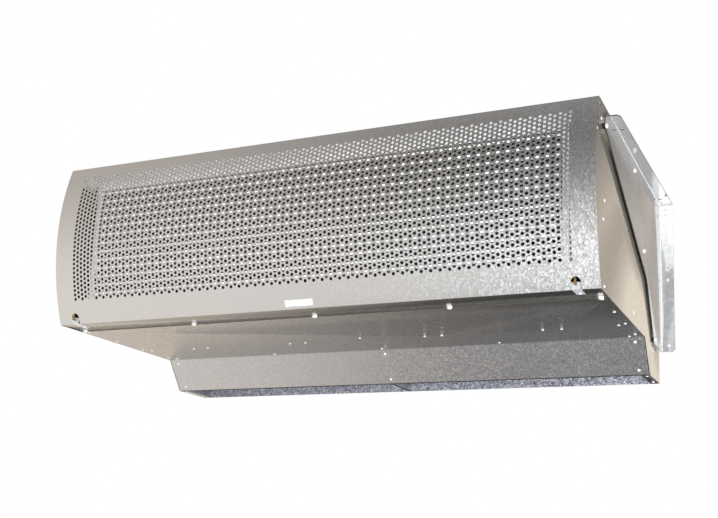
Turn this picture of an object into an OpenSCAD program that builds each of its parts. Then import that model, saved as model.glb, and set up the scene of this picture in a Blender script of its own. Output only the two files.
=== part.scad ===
// Wall or ceiling hung air curtain in galvanised sheet.
// X runs along the unit, Y from the front to the wall, Z up.
// The origin is the middle of the wall holes, on the wall plane.

/* [Casing] */
// Length over the end panels
casing_length = 1500; // [1400:10:2400]
// Height of the casing above its bottom panel
casing_height = 449; // [440:1:520]
// Depth from the front top edge to the wall
casing_depth = 756; // [740:1:900]
// Thickness of the casing sheet
sheet = 1.2; // [0.8:0.1:2]
// Shadow gap between an end panel and the panels between the ends
panel_gap = 1.5; // [0.5:0.1:3]
// Width of the folded flanges that join the panels
flange = 28; // [20:1:40]
// Depth of the rail under the front cover
rail_depth = 103; // [80:1:140]

/* [Cover] */
// Thickness of the perforated sheet
cover_sheet = 1.2; // [0.8:0.1:2]
// Rise of the curved front over its chord
cover_bulge = 42.6; // [30:0.1:60]
// How far the bottom edge lies behind the top edge
cover_setback = 12; // [4:1:24]
// Depth of the ears at both ends of the cover
ear_depth = 22; // [20:1:30]
// Depth of the lip along the top of the cover
lip_depth = 20; // [12:1:20]
// Distance of the hinge axis behind the top edge
hinge_inset = 13; // [12:0.5:15]
// Distance of the hinge axis under the top edge
hinge_drop = 12; // [11:0.5:14]
// Diameter of the hinge pins
hinge_pin_d = 6; // [4:0.5:8]

/* [Perforation] */
// Diameter of a hole in the cover sheet
hole_d = 8; // [6:0.5:9]
// Pitch of the holes up a column
row_pitch = 12.2; // [11:0.1:16]
// Distance from one column to the next, staggered by half a row
column_pitch = 11.85; // [11:0.05:16]
// Holes are drawn this many times larger and further apart
hole_grid = 2; // [2:1:4]
// Plain margin at both ends of the cover
end_margin = 61; // [50:1:120]
// Plain margin at the bottom, to the centre of the lowest holes
bottom_margin = 68.7; // [60:0.1:100]
// Plain margin at the top, to the centre of the highest holes
top_margin = 37; // [30:0.5:80]

/* [Name plate] */
// Width of the bare plate
plate_w = 78; // [40:1:100]
// Height of the bare plate
plate_h = 17; // [10:1:24]
// Distance of the plate from the cover's bottom edge
plate_low = 7; // [4:1:20]

/* [Latches] */
// Width of the notches in the cover's bottom edge
notch_w = 22; // [20:1:30]
// Height of the notches
notch_h = 28; // [26:1:34]
// Distance from the end of the casing to the middle of a notch
notch_inset = 55; // [45:1:80]
// Clearance between a latch tab and its notch
tab_gap = 1; // [0.5:0.1:2]
// Height of a latch tab, under the top of its notch
tab_h = 17; // [15:0.5:22]
// Thickness of a latch tab
tab_t = 1.5; // [1:0.1:2]
// Length of the tab's foot under the rail
tab_foot = 50; // [35:1:70]
// Length of the turn button from its axis to its tip
button_l = 14; // [12:0.5:14]
// Width of the turn button
button_w = 6; // [5.5:0.5:8]
// Diameter of the turn button's stud
stud_d = 5; // [4:0.5:6]

/* [Nozzle] */
// Depth of the outlet, from the nozzle's lower lip to the wall
outlet_depth = 148; // [120:1:160]
// Run of the nozzle's slope, from its top edge to its lower lip
nozzle_run = 67; // [40:1:80]
// Drop of the nozzle under the bottom panel
nozzle_drop = 89; // [60:1:120]
// Width of the flanges at the ends of the outlet
outlet_flange = 25; // [15:1:40]
// Thickness of the tie plate in the middle of the outlet
divider_t = 2; // [1.5:0.5:4]
// Width of the tie plate's folded bottom edge
divider_foot = 10; // [4:1:10]

/* [Brackets] */
// Gap between an end panel and its mounting bracket
bracket_gap = 6.5; // [3:0.5:12]
// Thickness of the bracket plate
bracket_t = 2.5; // [2:0.1:4]
// Width of the bracket's flanges at the wall, from its inner face
bracket_flange = 38; // [32:1:60]
// Width of the ceiling flange at its front end
flange_front = 24; // [20:1:32]
// Distance of the wall holes from the flange's outer edge
wall_hole_inset = 17; // [12:1:20]
// Distance of the ceiling flange under the top of the casing
bracket_top_drop = 17; // [5:1:30]
// Diameter of the mounting holes
mount_hole_d = 9; // [6:0.5:12]
// Height of the lowest wall hole over the bottom panel
wall_hole_low = 18; // [14:1:28]
// Distance of the highest wall hole under the ceiling flange
wall_hole_high = 34; // [20:1:50]
// Distance from the front to the first ceiling hole
ceiling_hole_front = 164; // [120:1:200]
// Distance from the wall to the rear ceiling hole
ceiling_hole_back = 62; // [40:1:90]
// Distance from the wall to the lower end of the bracket's front edge
foot_back = 128; // [120:1:140]
// Distance from the wall to the knee in the bracket's front edge
knee_back = 226; // [200:1:240]
// Diameter of the bolts that hold a bracket
bracket_bolt_d = 6; // [5:0.5:8]
// Depth of the front bolt under the ceiling flange
bolt_drop = 44; // [38:1:50]
// Depth of the middle bolt under the ceiling flange
mid_bolt_drop = 29; // [24:1:36]
// Distance from the wall to the bolt above the knee
knee_bolt_back = 261; // [250:1:270]
// Distance from the wall to the lowest bolt
foot_bolt_back = 115; // [105:1:120]

/* [Filter] */
// Distance from the front top edge to the face of the filter
filter_y = 44; // [40:1:60]
// Thickness of the filter frame
filter_t = 24; // [22:1:30]
// Width of the frame's rails
filter_rail = 22; // [15:1:35]
// Distance of the filter from the end panels
filter_side = 68.5; // [50:0.5:90]
// Width of the upright sides of the filter frame
filter_stile = 16; // [8:1:25]
// How far the filter stands to the right of the middle, or to the left below zero
filter_shift = -9.5; // [-20:0.5:20]
// Height of one pleat
pleat_pitch = 24.4; // [20:0.1:40]
// Thickness of the filter fleece
fleece = 1.5; // [1:0.1:2]

/* [Fans] */
// Distance of each fan from the middle of the casing
fan_offset = 374; // [330:1:420]
// Distance from the wall to the fan shafts
fan_back = 268; // [250:1:280]
// Depth of the fan shafts under the top of the casing
fan_drop = 213; // [208:1:225]
// Diameter of the impellers
impeller_d = 236; // [200:1:240]
// Clearance between the ends of an impeller and its housing
impeller_gap = 10; // [9:1:20]
// Number of blades on an impeller
blade_count = 36; // [20:1:48]
// Radial depth of the blades
blade_depth = 20; // [14:1:28]
// Outer width of the scroll housings
housing_w = 282; // [280:1:300]
// Radius at the tongue of the scroll
scroll_min = 126; // [124:1:132]
// Radius at the end of the scroll
scroll_max = 206; // [190:1:210]
// Diameter of the motor cans
motor_d = 110; // [80:1:130]
// Length of the motor cans
motor_l = 92; // [70:1:120]
// Diameter of the fan shafts
shaft_d = 15; // [10:0.5:20]
// Outer diameter of the bearings
bearing_d = 32; // [28:1:40]
// Radial clearance of a running fit
running_gap = 0.05; // [0.02:0.01:0.1]
// Height of the fan deck over the bottom panel
deck_z = 32; // [26:1:44]
// Distance from the middle of a fan to its feet
foot_offset = 165; // [160:1:175]
// Distance of the feet in front of the fan shafts
foot_front = 92; // [85:1:100]
// Length of a fan foot
foot_l = 50; // [40:1:60]
// Width of a fan foot
foot_w = 28; // [20:1:36]

/* [Fasteners] */
// Diameter of the blind rivet heads
rivet_d = 8; // [6:0.5:10]
// Height of the blind rivet heads
rivet_h = 1.6; // [1:0.1:3]
// Distance of the edge rivets from the ends of a panel
edge_inset = 19; // [12:1:24]
// Width across the flats of the bottom panel screws
screw_af = 11; // [8:0.5:13]
// Height of the screw heads
screw_h = 5; // [3:0.5:8]

/* [Electrics] */
// Length of the terminal box
box_l = 150; // [120:1:200]
// Depth of the terminal box
box_d = 90; // [70:1:110]
// Height of the terminal box
box_h = 62; // [50:1:70]
// Wall of the terminal box
box_wall = 2.5; // [2:0.1:4]
// Distance of the terminal box from the middle of the casing
box_x = 0; // [-40:1:40]
// Inner diameter of the cable gland
gland_bore = 12; // [8:1:16]

/* [Hidden] */
half = casing_length / 2;
inner = half - sheet;
between = inner - panel_gap;
arc_steps = 24;
close_gap = 0.3;

// Chord, radius and centre of the curved front, in (y, z)
chord_low = [cover_setback, 0];
chord_high = [0, casing_height];
chord = norm(chord_high - chord_low);
bulge_r = (pow(chord / 2, 2) + pow(cover_bulge, 2)) / (2 * cover_bulge);
chord_dir = (chord_high - chord_low) / chord;
arc_centre = (chord_low + chord_high) / 2 + (bulge_r - cover_bulge) * [chord_dir[1], -chord_dir[0]];
arc_low = atan2(chord_low[1] - arc_centre[1], arc_centre[0] - chord_low[0]);
arc_high = atan2(chord_high[1] - arc_centre[1], arc_centre[0] - chord_high[0]);
arc_length = bulge_r * (arc_high - arc_low) * PI / 180;
function on_arc(r, a) = arc_centre + r * [-cos(a), sin(a)];
function arc_points(r, a0, a1) = [for (i = [0:arc_steps]) on_arc(r, a0 + (a1 - a0) * i / arc_steps)];
function arc_angle(s) = arc_low + s / bulge_r * 180 / PI;
function reversed(list) = [for (i = [len(list) - 1:-1:0]) list[i]];
// Front of the curve at a height, measured on its outer face
function front_y(z) = arc_centre[0] - sqrt(pow(bulge_r, 2) - pow(z - arc_centre[1], 2));

hinge_y = hinge_inset;
hinge_z = casing_height - hinge_drop;
ear_out = inner - 0.5;
ear_low = 48;
pin_head_d = 10;
swing_r = hinge_inset + 5.2;
top_start = hinge_y + swing_r;

hole_columns = floor((casing_length - 2 * end_margin) / (column_pitch * hole_grid)) + 1;
hole_rows = floor((arc_length - bottom_margin - top_margin) / (row_pitch * hole_grid)) + 1;

notch_x = half - notch_inset;
tab_w = notch_w - 2 * tab_gap;
tab_corner = 5;
tab_y = cover_setback - 6;
stud_z = notch_h - tab_gap - button_l - 2;
button_t = 2;
button_y = front_y(notch_h) - button_t - 1.4;

rail_z = sheet;
rail_front = cover_setback + cover_sheet + 2.5;
rail_lap = 24;
rail_lip = 18;
rail_back = rail_depth + rail_lap;
outlet_z = -nozzle_drop;
nozzle_lip_y = casing_depth - outlet_depth;
nozzle_top_y = nozzle_lip_y - nozzle_run;
nozzle_flange = 34;
nozzle_lip = 12;
slope = [nozzle_lip_y - nozzle_top_y, outlet_z];
slope_l = norm(slope);
slope_dir = slope / slope_l;

bracket_in = half + bracket_gap;
bracket_out = bracket_in + bracket_t;
flange_end = bracket_in + bracket_flange;
bracket_top = casing_height - bracket_top_drop;
wall_hole_pitch = (bracket_top - wall_hole_high - wall_hole_low) / 2;
ceiling_hole_pitch = casing_depth - ceiling_hole_back - ceiling_hole_front;
wall_hole_x = flange_end - wall_hole_inset;
ceiling_hole_x = bracket_in + flange_front / 2 + 1;
flange_bevel = 7;
mid_hole_z = wall_hole_low + wall_hole_pitch;
bracket_nose = [20, bracket_top - 48];
bracket_knee = [casing_depth - knee_back, bracket_top * 0.354];
bracket_foot = [casing_depth - foot_back, 0];
bracket_nose_top = 79;
bracket_bolts_yz = [
  [casing_depth * 0.045, bracket_top - bolt_drop],
  [casing_depth / 2 - 1, bracket_top - mid_bolt_drop],
  [casing_depth - knee_bolt_back, bracket_top * 0.514],
  [casing_depth - foot_bolt_back, bracket_top * 0.032]
];
side_rivets_yz = [
  [casing_depth * 0.058, casing_height * 0.027],
  [casing_depth * 0.065, casing_height * 0.479],
  [casing_depth * 0.048, casing_height * 0.372],
  [casing_depth * 0.032, casing_height - 45],
  [casing_depth * 0.507, casing_height * 0.067]
];
bracket_washer_d = bracket_bolt_d * 2.2;

filter_low = 18;
filter_high = casing_height - 32;
filter_lap = 8;
filter_half = inner - filter_side;
pleat_count = floor((filter_high - filter_low - 2 * filter_rail) / pleat_pitch);
pleat_depth = filter_t - 2 * sheet - 2 * close_gap;
pleat_low = (filter_low + filter_high - pleat_count * pleat_pitch) / 2;

fan_y = casing_depth - fan_back;
fan_z = casing_height - fan_drop;
impeller_l = housing_w - 2 * impeller_gap;
impeller_r = impeller_d / 2;
inlet_r = impeller_r - blade_depth + 4;
ring_t = 3;
scroll_steps = 40;
tongue_a = -30;
outlet_inner = scroll_min * cos(tongue_a);
shaft_l = housing_w + 36;
spider_t = 4;
plenum_lap = 56;
plenum_foot = 18;
plenum_y = nozzle_top_y - plenum_lap;
foot_y = fan_y - foot_front;
box_y = 150;
box_z = casing_height - sheet - box_h;
gland_x = box_x + box_l / 2 - 28;
gland_thread_d = gland_bore + 8;

// Moves what is drawn from the front edge and bottom panel to the part's origin
module placed() {
  translate([0, -casing_depth, -mid_hole_z]) children();
}

// Extrudes a (y, z) outline along X between two stations
module along_x(x0, x1) {
  translate([x0, 0, 0]) rotate([90, 0, 90]) linear_extrude(x1 - x0) children();
}

module box(low, high) {
  translate(low) cube(high - low);
}

module both_ends() {
  children();
  mirror([1, 0, 0]) children();
}

module x_cylinder(x0, x1, y, z, d, sides = 48) {
  translate([x0, y, z]) rotate([0, 90, 0]) cylinder(d = d, h = x1 - x0, $fn = sides);
}

// Low domed head of a blind rivet, with its face on z = 0 and the head along -z
module rivet() {
  rotate([180, 0, 0]) {
    cylinder(d = rivet_d, h = rivet_h * 0.4, $fn = 32);
    translate([0, 0, rivet_h * 0.4]) cylinder(d1 = rivet_d, d2 = rivet_d * 0.5, h = rivet_h * 0.6, $fn = 32);
  }
}

// Flanged hexagon head with its face on z = 0 and the head along -z
module hex_screw() {
  rotate([180, 0, 0]) {
    cylinder(d = screw_af * 1.35, h = 1, $fn = 32);
    translate([0, 0, 1]) cylinder(d = screw_af / cos(30), h = screw_h - 1, $fn = 6);
  }
}

// Outline of an end panel in (y, z)
module end_outline() {
  face_r = bulge_r - cover_sheet - close_gap;
  difference() {
    polygon([
      [cover_setback + 2 * cover_sheet, 0],
      each arc_points(face_r, arc_low, arc_high),
      [hinge_y, casing_height],
      [casing_depth, casing_height],
      [casing_depth, outlet_z],
      [nozzle_lip_y, outlet_z],
      [nozzle_top_y, 0]
    ]);
    difference() {
      translate([hinge_y - 60, hinge_z]) square([60, hinge_drop + 1]);
      translate([hinge_y, hinge_z]) circle(r = hinge_inset + 1, $fn = 64);
    }
  }
}

module front_cover() {
  color("lightgray") placed() difference() {
    union() {
      along_x(-half, half) polygon([
        each arc_points(bulge_r, arc_low, arc_high),
        each reversed(arc_points(bulge_r - cover_sheet, arc_low, arc_high))
      ]);
      box([-ear_out, 0.5, casing_height - cover_sheet], [ear_out, lip_depth, casing_height]);
      both_ends() along_x(ear_out - cover_sheet, ear_out) intersection() {
        polygon([
          each arc_points(bulge_r - cover_sheet / 2, arc_low, arc_high),
          each reversed(arc_points(bulge_r - cover_sheet - ear_depth, arc_low, arc_high))
        ]);
        translate([-cover_bulge * 2, ear_low]) square([cover_bulge * 4, casing_height - ear_low]);
      }
    }
    for (i = [0:hole_columns - 1], j = [0:hole_rows - 1 - i % 2])
      let (a = arc_angle(bottom_margin + (j + (i % 2) / 2) * row_pitch * hole_grid),
           c = on_arc(bulge_r - cover_sheet / 2, a))
        translate([(i - (hole_columns - 1) / 2) * column_pitch * hole_grid, c[0], c[1]])
          rotate([90 - a, 0, 0])
            cylinder(d = hole_d * hole_grid, h = cover_sheet * 8, center = true, $fn = 24);
    both_ends() {
      translate([notch_x, 0, notch_h - notch_w / 2]) rotate([90, 0, 0])
        cylinder(d = notch_w, h = 80, center = true, $fn = 48);
      box([notch_x - notch_w / 2, -40, -1], [notch_x + notch_w / 2, 40, notch_h - notch_w / 2]);
    }
    both_ends() x_cylinder(ear_out - 5, ear_out + 0.4, hinge_y, hinge_z, hinge_pin_d + 2 * running_gap);
  }
}

module cover_hinge_pins() {
  color("silver") placed() both_ends() {
    x_cylinder(ear_out - 4, half, hinge_y, hinge_z, hinge_pin_d);
    x_cylinder(half, half + 1.5, hinge_y, hinge_z, pin_head_d);
  }
}

module latch_tabs() {
  color("gainsboro") placed() both_ends() translate([notch_x, 0, 0]) difference() {
    union() {
      for (x = [-1, 1]) translate([x * (tab_w / 2 - tab_corner), tab_y + tab_t, tab_h - tab_corner])
        rotate([90, 0, 0]) cylinder(r = tab_corner, h = tab_t, $fn = 32);
      box([tab_corner - tab_w / 2, tab_y, tab_h - 2 * tab_corner],
          [tab_w / 2 - tab_corner, tab_y + tab_t, tab_h]);
      box([-tab_w / 2, tab_y, rail_z - tab_t], [tab_w / 2, tab_y + tab_t, tab_h - tab_corner]);
      box([-tab_w / 2, tab_y, rail_z - tab_t], [tab_w / 2, tab_y + tab_foot, rail_z]);
    }
    translate([0, 0, stud_z]) rotate([90, 0, 0])
      cylinder(d = stud_d + 2 * running_gap, h = 80, center = true, $fn = 32);
  }
}

module latch_tab_rivets() {
  color("white") placed() both_ends()
    translate([notch_x, tab_y + tab_foot - tab_w / 2, rail_z - tab_t]) rivet();
}

module latch_button(side) {
  color("darkgoldenrod") placed() translate([side * notch_x, 0, stud_z]) {
    difference() {
      union() {
        box([-button_w / 2, button_y, 0], [button_w / 2, button_y + button_t, button_l - button_w / 2]);
        for (z = [0, button_l - button_w / 2])
          translate([0, button_y + button_t, z]) rotate([90, 0, 0])
            cylinder(d = button_w, h = button_t, $fn = 32);
      }
      box([-0.6, button_y - 1, -button_w / 2 - 1], [0.6, button_y + 0.8, button_w / 2 - 0.5]);
    }
    translate([0, tab_y + tab_t + 2, 0]) rotate([90, 0, 0])
      cylinder(d = stud_d, h = tab_y + tab_t + 2 - button_y - button_t, $fn = 32);
    translate([0, tab_y + tab_t + 2, 0]) rotate([90, 0, 0])
      cylinder(d = stud_d + 3, h = 2 - close_gap, $fn = 32);
  }
}

module side_panel(side) {
  color("tan") placed() mirror([side < 0 ? 1 : 0, 0, 0]) {
    difference() {
      union() {
        along_x(inner, half) end_outline();
        box([inner - flange, rail_back + 1, sheet], [inner, nozzle_top_y - nozzle_flange - 1, 2 * sheet]);
        box([inner - flange, top_start + 20, casing_height - 2 * sheet],
            [inner, casing_depth - sheet, casing_height - sheet]);
        box([inner - flange, casing_depth - 2 * sheet, deck_z + 3 * sheet],
            [inner, casing_depth - sheet, casing_height - sheet]);
      }
      x_cylinder(inner - 1, half + 1, hinge_y, hinge_z, hinge_pin_d);
      for (p = bracket_bolts_yz)
        x_cylinder(inner - 1, half + 1, p[0], p[1], bracket_bolt_d);
    }
  }
}

module top_panel() {
  color("silver") placed() difference() {
    union() {
      box([-inner, top_start, casing_height - sheet], [inner, casing_depth, casing_height]);
      box([-between + flange + 4, top_start, casing_height - 14],
          [between - flange - 4, top_start + sheet, casing_height - sheet]);
    }
    translate([gland_x, box_y + box_d / 2, 0]) cylinder(d = gland_thread_d, h = casing_height * 2, $fn = 48);
  }
}

module rear_panel() {
  color("silver") placed()
    box([-inner, casing_depth - sheet, outlet_z], [inner, casing_depth, casing_height - sheet]);
}

module bottom_rail() {
  color("dimgray") placed() {
    box([-between, rail_front, rail_z], [between, rail_back, rail_z + sheet]);
    box([-notch_x + notch_w, rail_front, rail_z + sheet],
        [notch_x - notch_w, rail_front + sheet, rail_z + rail_lip]);
  }
}

module bottom_panel() {
  color("gray") placed() difference() {
    box([-between, rail_depth, 0], [between, nozzle_top_y - 6, sheet]);
    for (x = [-fan_offset, fan_offset], s = [-1, 1], d = [-1, 1])
      translate([x + s * foot_offset + d * foot_l / 2, foot_y, -1]) cylinder(d = 4, h = sheet + 2, $fn = 24);
  }
}

module nozzle_front() {
  color("slategray") placed() {
    along_x(-between, between) polygon([
      [nozzle_top_y - nozzle_flange, sheet],
      [nozzle_top_y - nozzle_flange, 2 * sheet],
      [nozzle_top_y + sheet, 2 * sheet],
      [nozzle_lip_y + sheet, outlet_z + sheet],
      [nozzle_lip_y + nozzle_lip, outlet_z + sheet],
      [nozzle_lip_y + nozzle_lip, outlet_z],
      [nozzle_lip_y, outlet_z],
      [nozzle_top_y, 0],
      [nozzle_top_y - 5, 0],
      [nozzle_top_y - 5, sheet]
    ]);
  }
}

module nozzle_end_plates() {
  color("dimgray") placed() both_ends() {
    box([inner - outlet_flange, nozzle_lip_y + nozzle_lip + 1, outlet_z],
        [inner, casing_depth - sheet, outlet_z + sheet]);
    box([inner - outlet_flange, nozzle_lip_y + nozzle_lip + 1, outlet_z + sheet],
        [inner - outlet_flange + sheet, casing_depth - sheet, outlet_z + 2.4 * outlet_flange]);
  }
}

module nozzle_divider() {
  front = nozzle_lip_y + nozzle_lip + 1;
  color("gray") placed() {
    along_x(-divider_t / 2, divider_t / 2) polygon([
      [front, outlet_z + 2 * sheet],
      [nozzle_lip_y + 5, outlet_z + 2 * sheet],
      [nozzle_top_y + slope_dir[0] * 14 + 3, slope_dir[1] * 14],
      [nozzle_top_y + slope_dir[0] * 14 + 3, deck_z],
      [casing_depth - sheet, deck_z],
      [casing_depth - sheet, outlet_z],
      [front, outlet_z]
    ]);
    box([-divider_foot / 2, front, outlet_z], [divider_foot / 2, casing_depth - sheet, outlet_z + sheet]);
  }
}

// Outlet of one scroll housing as a rectangle in (y, x)
module deck_opening(x) {
  box([x - housing_w / 2 + sheet, fan_y + outlet_inner + sheet, deck_z - 1],
      [x + housing_w / 2 - sheet, fan_y + scroll_max - sheet, deck_z + sheet + 1]);
}

module fan_deck() {
  color("silver") placed() difference() {
    union() {
      box([-between, plenum_y, deck_z], [between, casing_depth - sheet, deck_z + sheet]);
      box([-between, plenum_y, 2 * sheet], [between, plenum_y + sheet, deck_z]);
      box([-inner + flange + 1, plenum_y - plenum_foot, sheet],
          [inner - flange - 1, plenum_y + sheet, 2 * sheet]);
    }
    for (x = [-fan_offset, fan_offset]) deck_opening(x);
  }
}

module bracket(side) {
  holes_z = [for (i = [0:2]) wall_hole_low + i * wall_hole_pitch];
  color("gainsboro") placed() mirror([side < 0 ? 1 : 0, 0, 0]) difference() {
    union() {
      along_x(bracket_in, bracket_out) polygon([
        bracket_nose,
        [bracket_nose[0] + 6, bracket_nose[1] + 26],
        [bracket_nose_top - 26, bracket_top - 4],
        [bracket_nose_top, bracket_top],
        [casing_depth, bracket_top],
        [casing_depth, bracket_foot[1]],
        bracket_foot,
        bracket_knee
      ]);
      translate([0, 0, bracket_top - bracket_t]) linear_extrude(bracket_t) polygon([
        [bracket_in, bracket_nose_top],
        [bracket_in + flange_front - flange_bevel, bracket_nose_top],
        [bracket_in + flange_front, bracket_nose_top + 12],
        [flange_end, casing_depth],
        [bracket_in, casing_depth]
      ]);
      translate([0, casing_depth, 0]) rotate([90, 0, 0]) linear_extrude(bracket_t) polygon([
        [bracket_in, 0],
        [flange_end - flange_bevel, 0],
        [flange_end, flange_bevel],
        [flange_end, bracket_top],
        [bracket_in, bracket_top]
      ]);
    }
    for (z = holes_z) translate([wall_hole_x, casing_depth, z]) rotate([90, 0, 0])
      cylinder(d = mount_hole_d, h = 4 * bracket_t, center = true, $fn = 32);
    for (y = [ceiling_hole_front, ceiling_hole_front + ceiling_hole_pitch])
      translate([ceiling_hole_x, y, bracket_top])
        cylinder(d = mount_hole_d, h = 4 * bracket_t, center = true, $fn = 32);
    for (p = bracket_bolts_yz)
      x_cylinder(bracket_in - 1, bracket_out + 1, p[0], p[1], bracket_bolt_d);
  }
}

module bracket_spacers() {
  color("dimgray") placed() both_ends() for (p = bracket_bolts_yz) difference() {
    x_cylinder(half, bracket_in, p[0], p[1], bracket_washer_d);
    x_cylinder(half - 1, bracket_in + 1, p[0], p[1], bracket_bolt_d);
  }
}

module bracket_bolts() {
  color("white") placed() both_ends() for (p = bracket_bolts_yz) {
    x_cylinder(inner - 6, bracket_out, p[0], p[1], bracket_bolt_d);
    x_cylinder(bracket_out, bracket_out + 3.5, p[0], p[1], bracket_bolt_d * 1.8);
    x_cylinder(inner - 5, inner, p[0], p[1], bracket_bolt_d * 1.8, 6);
  }
}

module rail_screws() {
  color("white") placed() for (i = [-2:2])
    translate([i * (half - edge_inset) / 2, rail_depth - screw_af * 0.75, rail_z]) hex_screw();
}

module bottom_rivets() {
  y0 = rail_depth + rivet_d;
  dy = (nozzle_top_y - nozzle_flange - rivet_d / 2 - y0) / 3;
  color("white") placed() {
    both_ends() for (i = [0:3]) translate([half - edge_inset, y0 + i * dy, 0]) rivet();
    both_ends() translate([half - 2 * edge_inset, foot_y - rivet_d, 0]) rivet();
    translate([0, y0 + 2 * dy, 0]) rivet();
    for (x = [-fan_offset, fan_offset], s = [-1, 1], d = [-1, 1])
      translate([x + s * foot_offset + d * foot_l / 2, foot_y, 0]) rivet();
    for (i = [-2:2])
      translate([i * (half - 2 * edge_inset) / 2, nozzle_top_y - nozzle_flange / 2, 0]) rivet();
  }
}

module nozzle_rivets() {
  tilt = atan2(-slope[1], slope[0]);
  color("white") placed() {
    for (x = [-half + flange, 0, half - flange], s = [flange / 2, slope_l - flange / 2])
      translate([x, nozzle_top_y + slope_dir[0] * s, slope_dir[1] * s]) rotate([-tilt, 0, 0]) rivet();
    both_ends() for (y = [nozzle_lip_y + nozzle_lip * 2, casing_depth - flange])
      translate([half - outlet_flange / 2, y, outlet_z]) rivet();
  }
}

module side_rivets() {
  color("white") placed() both_ends()
    for (p = side_rivets_yz)
      translate([half, p[0], p[1]]) rotate([0, -90, 0]) rivet();
}

module name_plate() {
  a0 = arc_angle(plate_low);
  a1 = arc_angle(plate_low + plate_h);
  color("white") placed() along_x(-plate_w / 2, plate_w / 2) polygon([
    on_arc(bulge_r + 0.7, a0),
    on_arc(bulge_r + 0.7, a1),
    on_arc(bulge_r + 0.1, a1),
    on_arc(bulge_r + 0.1, a0)
  ]);
}

module filter_frame() {
  color("whitesmoke") placed() translate([filter_shift, 0, 0]) difference() {
    box([-filter_half, filter_y, filter_low], [filter_half, filter_y + filter_t, filter_high]);
    box([-filter_half + filter_stile, filter_y - 1, filter_low + filter_rail],
        [filter_half - filter_stile, filter_y + filter_t + 1, filter_high - filter_rail]);
    box([-filter_half + sheet, filter_y + sheet, filter_low + sheet],
        [filter_half - sheet, filter_y + filter_t - sheet, filter_high - sheet]);
  }
}

// Pleated fleece, folded once up and once down in each pleat
module filter_fleece() {
  y0 = filter_y + (filter_t - pleat_depth) / 2;
  fold_y = pleat_depth - fleece;
  folds = [for (i = [0:2 * pleat_count]) [y0 + (i % 2) * fold_y, pleat_low + i * pleat_pitch / 2]];
  color("white") placed() translate([filter_shift, 0, 0])
    along_x(-filter_half + sheet + close_gap, filter_half - sheet - close_gap) polygon([
      each folds,
      each reversed([for (p = folds) p + [fleece, 0]])
    ]);
}

module filter_rails() {
  color("silver") placed() {
    box([-between, filter_y - 3, filter_high - filter_lap],
        [between, filter_y - 3 + sheet, casing_height - sheet]);
    box([-between, filter_y + filter_t + 1, filter_high - filter_lap],
        [between, filter_y + filter_t + 1 + sheet, casing_height - 2 * sheet]);
    box([-between, filter_y - 3, rail_z + sheet], [between, filter_y - 3 + sheet, filter_low + filter_lap]);
    box([-between, filter_y - 3 + sheet, filter_low - sheet - close_gap],
        [between, filter_y + filter_t + 1, filter_low - close_gap]);
    box([-between, filter_y + filter_t + 1, rail_z + sheet],
        [between, filter_y + filter_t + 1 + sheet, filter_low + filter_lap]);
  }
}

// Points of the scroll in (y, z) about the shaft, from its tongue round to the outlet, less a wall
function scroll_points(wall) = [
  for (i = [0:scroll_steps])
    let (a = tongue_a - (360 + tongue_a) * i / scroll_steps,
         r = scroll_min + (scroll_max - scroll_min) * i / scroll_steps - wall)
      r * [cos(a), sin(a)]
];

module scroll_outline(wall) {
  low = deck_z + sheet - fan_z - wall;
  polygon([
    each scroll_points(wall),
    [scroll_max - wall, low],
    [outlet_inner + wall, low],
    [outlet_inner + wall, scroll_min * sin(tongue_a) + wall]
  ]);
}

module fan_housing(x) {
  w = housing_w / 2;
  color("silver") placed() translate([x, fan_y, fan_z]) difference() {
    along_x(-w, w) scroll_outline(0);
    along_x(-w + sheet, w - sheet) scroll_outline(sheet);
    x_cylinder(-w - 1, w + 1, 0, 0, inlet_r * 2, 96);
  }
}

module inlet_rings(x) {
  w = housing_w / 2;
  color("gainsboro") placed() for (s = [-1, 1]) translate([x + s * w, fan_y, fan_z])
    mirror([s < 0 ? 1 : 0, 0, 0]) difference() {
      union() {
        x_cylinder(0, sheet, 0, 0, inlet_r * 2 + 24, 96);
        x_cylinder(-6, 0, 0, 0, inlet_r * 2 - 0.6, 96);
      }
      x_cylinder(-7, sheet + 1, 0, 0, inlet_r * 2 - 6, 96);
    }
}

module impeller(x) {
  l = impeller_l / 2;
  r0 = impeller_r - blade_depth;
  color("lightsteelblue") placed() translate([x, fan_y, fan_z]) difference() {
    union() {
      x_cylinder(-1.5, 1.5, 0, 0, impeller_d - 2, 96);
      for (s = [-1, 1]) x_cylinder(s * l - ring_t / 2, s * l + ring_t / 2, 0, 0, impeller_d, 96);
      for (i = [0:blade_count - 1]) rotate([i * 360 / blade_count, 0, 0])
        translate([0, impeller_r - blade_depth / 2 - 1, 0]) rotate([28, 0, 0])
          cube([impeller_l, blade_depth - 2, 1], center = true);
    }
    for (s = [-1, 1]) x_cylinder(s * l - ring_t, s * l + ring_t, 0, 0, r0 * 2, 96);
    x_cylinder(-3, 3, 0, 0, motor_d + 2 * running_gap, 96);
  }
}

module motor_can(x) {
  l = motor_l / 2;
  color("dimgray") placed() translate([x, fan_y, fan_z]) difference() {
    x_cylinder(-l, l, 0, 0, motor_d, 96);
    x_cylinder(-l + 11, l - 11, 0, 0, motor_d - 10, 96);
    x_cylinder(-l - 1, l + 1, 0, 0, bearing_d, 64);
  }
}

module bearings(x) {
  color("silver") placed() translate([x, fan_y, fan_z]) for (s = [-1, 1]) difference() {
    x_cylinder(s * (motor_l / 2 - 5.5) - 4.5, s * (motor_l / 2 - 5.5) + 4.5, 0, 0, bearing_d, 64);
    x_cylinder(s * (motor_l / 2 - 5.5) - 6, s * (motor_l / 2 - 5.5) + 6, 0, 0, shaft_d + 2 * running_gap, 48);
  }
}

module stator(x) {
  l = motor_l / 2 - 14;
  color("saddlebrown") placed() translate([x, fan_y, fan_z]) difference() {
    x_cylinder(-l, l, 0, 0, motor_d - 12, 96);
    x_cylinder(-l - 1, l + 1, 0, 0, shaft_d, 48);
  }
}

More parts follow.
